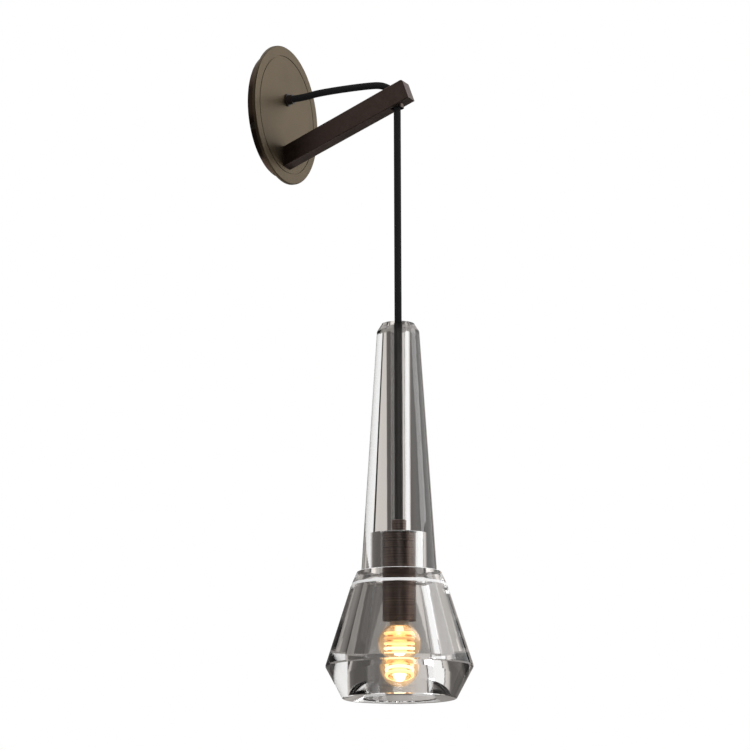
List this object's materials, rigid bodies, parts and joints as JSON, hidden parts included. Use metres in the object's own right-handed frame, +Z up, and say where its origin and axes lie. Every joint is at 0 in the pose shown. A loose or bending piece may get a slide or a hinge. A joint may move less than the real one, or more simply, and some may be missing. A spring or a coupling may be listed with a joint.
{
  "type": "hanging pendant wall light",
  "caption": "Wall light with a round canopy, an inclined square arm and a turned clear crystal pendant that swings on a textile cord round a small lamp holder.",
  "frame": {"origin": "middle of the canopy's back on the wall, at the centre of the wall plate's slots", "axes": "+Z up, -Y out of the wall toward the room, X along the wall"},
  "size_m": [0.1208, 0.175, 0.5654],
  "materials": {
    "bronze_disc": "olive bronze plating, brushed in circles",
    "bronze_drum": "dark bronze plating, turned",
    "bronze_arm": "dark brown bronze plating, fine long grain",
    "bronze_cup": "dark brown bronze plating, fine turning marks",
    "zinc_steel": "zinc-plated steel",
    "screw_steel": "bronze-plated steel",
    "brass_part": "plain turned brass",
    "gland_plastic": "dark brown plastic",
    "cord_textile": "matte black braid over a round cable",
    "black_rubber": "black sleeve",
    "clear_silicone": "translucent soft washer",
    "white_ceramic": "white steatite, modelled as a hard gloss plastic",
    "crystal": "clear ground and polished crystal, slightly smoky",
    "bulb_glass": "thin warm-tinted glass",
    "bulb_light": "stack of glowing rings on a stem",
    "pin_metal": "bare nickel wire"
  },
  "bodies": {
    "wall_side": {"wall_plate": "zinc_steel", "side_screw_left": "screw_steel", "side_screw_right": "screw_steel", "earth_screw": "brass_part", "earth_washer": "brass_part", "canopy_drum": "bronze_drum", "face_disc": "bronze_disc", "arm": "bronze_arm", "arm_screw_upper": "zinc_steel", "arm_screw_lower": "zinc_steel", "cord_gland": "gland_plastic", "gland_nut": "gland_plastic", "cord_grip": "gland_plastic", "arm_grommet": "gland_plastic", "arm_mouth": "brass_part", "cord_to_arm": "cord_textile"},
    "bend": {"cord_bend": "cord_textile"},
    "pendant": {"cord_drop": "cord_textile", "cord_sleeve": "black_rubber", "collar_nut": "bronze_cup", "nipple": "zinc_steel", "seat_washer": "clear_silicone", "socket_cup": "bronze_cup", "lamp_holder": "white_ceramic", "contact_left": "pin_metal", "contact_right": "pin_metal", "holder_ring": "gland_plastic", "crystal_neck": "crystal", "crystal_shade": "crystal"},
    "bulb": {"bulb_globe": "bulb_glass", "bulb_base": "white_ceramic", "bulb_pin_left": "pin_metal", "bulb_pin_right": "pin_metal", "bulb_core": "bulb_light"}
  },
  "joints": [
    {"name": "swing_out", "type": "hinge", "parent": "wall_side", "child": "bend", "pos_m": [0, -0.1146, -0.004], "axis": [1, 0, 0], "range_deg": [-16, 6]},
    {"name": "swing_side", "type": "hinge", "parent": "bend", "child": "pendant", "pos_m": [0, -0.1146, -0.004], "axis": [0, 1, 0], "range_deg": [-18, 18]},
    {"name": "bulb_pull", "type": "slide", "parent": "pendant", "child": "bulb", "axis": [0, 0, -1], "range_m": [0, 0.03]}
  ]
}
